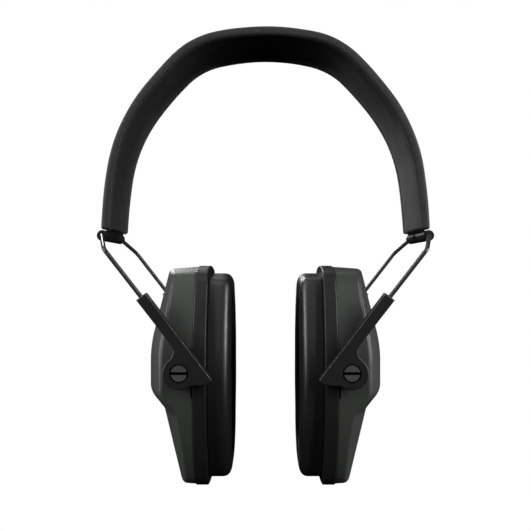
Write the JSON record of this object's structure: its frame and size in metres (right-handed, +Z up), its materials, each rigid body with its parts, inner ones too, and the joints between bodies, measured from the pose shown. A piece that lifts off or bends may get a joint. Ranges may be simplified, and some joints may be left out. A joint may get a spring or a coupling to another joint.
{
  "type": "earmuff hearing protector",
  "caption": "Slim folding earmuff with a padded headband on a spring strip, hinged wire bails, sliding yoke arms and oval cups with soft ear cushions.",
  "frame": {"origin": "on the ground in the middle between the two cups, which stand on the lower edges of their bezel rings", "axes": "+Z up through the crown of the headband, +Y the way the wearer faces, +X to the wearer's right"},
  "size_m": [0.159, 0.08, 0.2183],
  "materials": {
    "shell_plastic": "satin grey-green moulded plastic",
    "bezel_plastic": "satin dark grey moulded plastic",
    "arm_plastic": "satin black moulded plastic",
    "screw_plastic": "satin grey-green moulded plastic",
    "clip_plastic": "black moulded plastic",
    "washer_plastic": "natural nylon",
    "bush_brass": "turned brass",
    "wire_steel": "dark oxidised spring wire",
    "spring_steel": "rolled spring steel",
    "rivet_steel": "plated steel",
    "cushion_skin": "smooth black synthetic leather",
    "soft_foam": "open cell grey foam",
    "band_leatherette": "fine grained dark grey leatherette",
    "band_lining": "smooth dark grey leatherette"
  },
  "bodies": {
    "headband": {"headband_cover": "band_leatherette", "headband_lining": "band_lining", "headband_foam": "soft_foam", "headband_spring": "spring_steel", "left_end_clip": "clip_plastic", "left_clip_rivets": "rivet_steel", "right_end_clip": "clip_plastic", "right_clip_rivets": "rivet_steel"},
    "left_bail": {"left_wire_bail": "wire_steel"},
    "left_yoke": {"left_front_yoke_arm": "arm_plastic", "left_rear_yoke_arm": "arm_plastic", "left_wire_bushes": "washer_plastic"},
    "left_pivot": {"left_pivot_screws": "screw_plastic", "left_friction_washers": "washer_plastic", "left_pivot_bushes": "bush_brass"},
    "left_cup": {"left_cup_shell": "shell_plastic", "left_bezel_ring": "bezel_plastic", "left_seat_plate": "bezel_plastic", "left_cushion_cover": "cushion_skin", "left_cushion_foam": "soft_foam", "left_acoustic_foam": "soft_foam"},
    "right_bail": {"right_wire_bail": "wire_steel"},
    "right_yoke": {"right_front_yoke_arm": "arm_plastic", "right_rear_yoke_arm": "arm_plastic", "right_wire_bushes": "washer_plastic"},
    "right_pivot": {"right_pivot_screws": "screw_plastic", "right_friction_washers": "washer_plastic", "right_pivot_bushes": "bush_brass"},
    "right_cup": {"right_cup_shell": "shell_plastic", "right_bezel_ring": "bezel_plastic", "right_seat_plate": "bezel_plastic", "right_cushion_cover": "cushion_skin", "right_cushion_foam": "soft_foam", "right_acoustic_foam": "soft_foam"}
  },
  "joints": [
    {"name": "left_fold", "type": "hinge", "parent": "headband", "child": "left_bail", "pos_m": [-0.0769, 0, 0.12], "axis": [0, -1, 0], "range_deg": [0, 88]},
    {"name": "left_height", "type": "slide", "parent": "left_bail", "child": "left_yoke", "axis": [-0.6143, 0, 0.7891], "range_m": [-0.012, 0.02]},
    {"name": "left_cup_turn", "type": "hinge", "parent": "left_yoke", "child": "left_pivot", "pos_m": [-0.03815, 0, 0.05815], "axis": [0, -1, 0], "range_deg": [-102, 1]},
    {"name": "left_cup_tilt", "type": "hinge", "parent": "left_pivot", "child": "left_cup", "pos_m": [-0.03815, 0, 0.05815], "axis": [0, -1, 0], "range_deg": [-12, 12]},
    {"name": "right_fold", "type": "hinge", "parent": "headband", "child": "right_bail", "pos_m": [0.0769, 0, 0.12], "axis": [0, 1, 0], "range_deg": [0, 88]},
    {"name": "right_height", "type": "slide", "parent": "right_bail", "child": "right_yoke", "axis": [0.6143, 0, 0.7891], "range_m": [-0.012, 0.02]},
    {"name": "right_cup_turn", "type": "hinge", "parent": "right_yoke", "child": "right_pivot", "pos_m": [0.03815, 0, 0.05815], "axis": [0, 1, 0], "range_deg": [-102, 1]},
    {"name": "right_cup_tilt", "type": "hinge", "parent": "right_pivot", "child": "right_cup", "pos_m": [0.03815, 0, 0.05815], "axis": [0, 1, 0], "range_deg": [-12, 12]}
  ],
  "couplings": [
    {"joint": "left_cup_turn", "follows": "left_fold", "ratio": -1.15},
    {"joint": "right_cup_turn", "follows": "right_fold", "ratio": -1.15}
  ]
}
